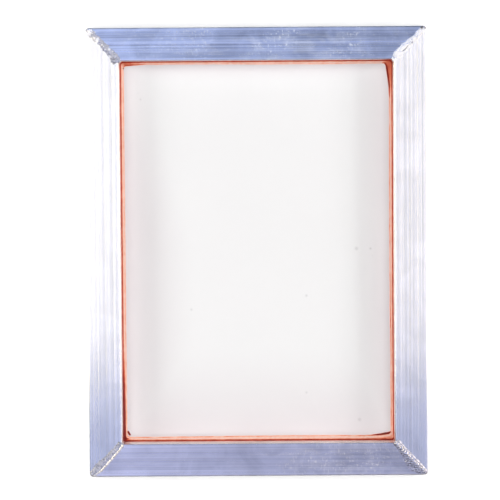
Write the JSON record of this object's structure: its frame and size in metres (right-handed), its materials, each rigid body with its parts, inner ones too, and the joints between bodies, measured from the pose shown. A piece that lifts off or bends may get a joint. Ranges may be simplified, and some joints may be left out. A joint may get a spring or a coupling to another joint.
{
  "type": "screen printing frame",
  "caption": "Rectangular screen printing frame of mitred and welded hollow aluminium rails, with a white polyester mesh stretched over the print face and bonded with red adhesive.",
  "frame": {"origin": "centre of the print face, on the surface that the frame lies on", "axes": "+Z out of the ink side, away from the print face; +Y along the long side rails towards the top rail; +X towards the right rail"},
  "size_m": [0.31, 0.41, 0.0214],
  "materials": {
    "rail_aluminium": "mill-finish extrusion with lengthwise die lines",
    "weld_aluminium": "rippled weld bead, dull silver",
    "mesh_polyester": "fine white monofilament weave, slightly translucent",
    "adhesive_film": "thin red-orange adhesive soaked through the weave",
    "adhesive_bead": "glossy dark red to orange squeezed-out adhesive"
  },
  "bodies": {
    "root": {"top_rail": "rail_aluminium", "bottom_rail": "rail_aluminium", "left_rail": "rail_aluminium", "right_rail": "rail_aluminium", "face_weld_top_left": "weld_aluminium", "outer_weld_top_left": "weld_aluminium", "inner_weld_top_left": "weld_aluminium", "back_weld_top_left": "weld_aluminium", "face_weld_top_right": "weld_aluminium", "outer_weld_top_right": "weld_aluminium", "inner_weld_top_right": "weld_aluminium", "back_weld_top_right": "weld_aluminium", "face_weld_bottom_left": "weld_aluminium", "outer_weld_bottom_left": "weld_aluminium", "inner_weld_bottom_left": "weld_aluminium", "back_weld_bottom_left": "weld_aluminium", "face_weld_bottom_right": "weld_aluminium", "outer_weld_bottom_right": "weld_aluminium", "inner_weld_bottom_right": "weld_aluminium", "back_weld_bottom_right": "weld_aluminium", "printing_mesh": "mesh_polyester", "adhesive_band_top": "adhesive_film", "glue_bead_top": "adhesive_bead", "adhesive_band_bottom": "adhesive_film", "glue_bead_bottom": "adhesive_bead", "adhesive_band_left": "adhesive_film", "glue_bead_left": "adhesive_bead", "adhesive_band_right": "adhesive_film", "glue_bead_right": "adhesive_bead", "glue_pool_top_left": "adhesive_bead", "glue_pool_top_right": "adhesive_bead", "glue_pool_bottom_left": "adhesive_bead", "glue_pool_bottom_right": "adhesive_bead"}
  },
  "joints": []
}
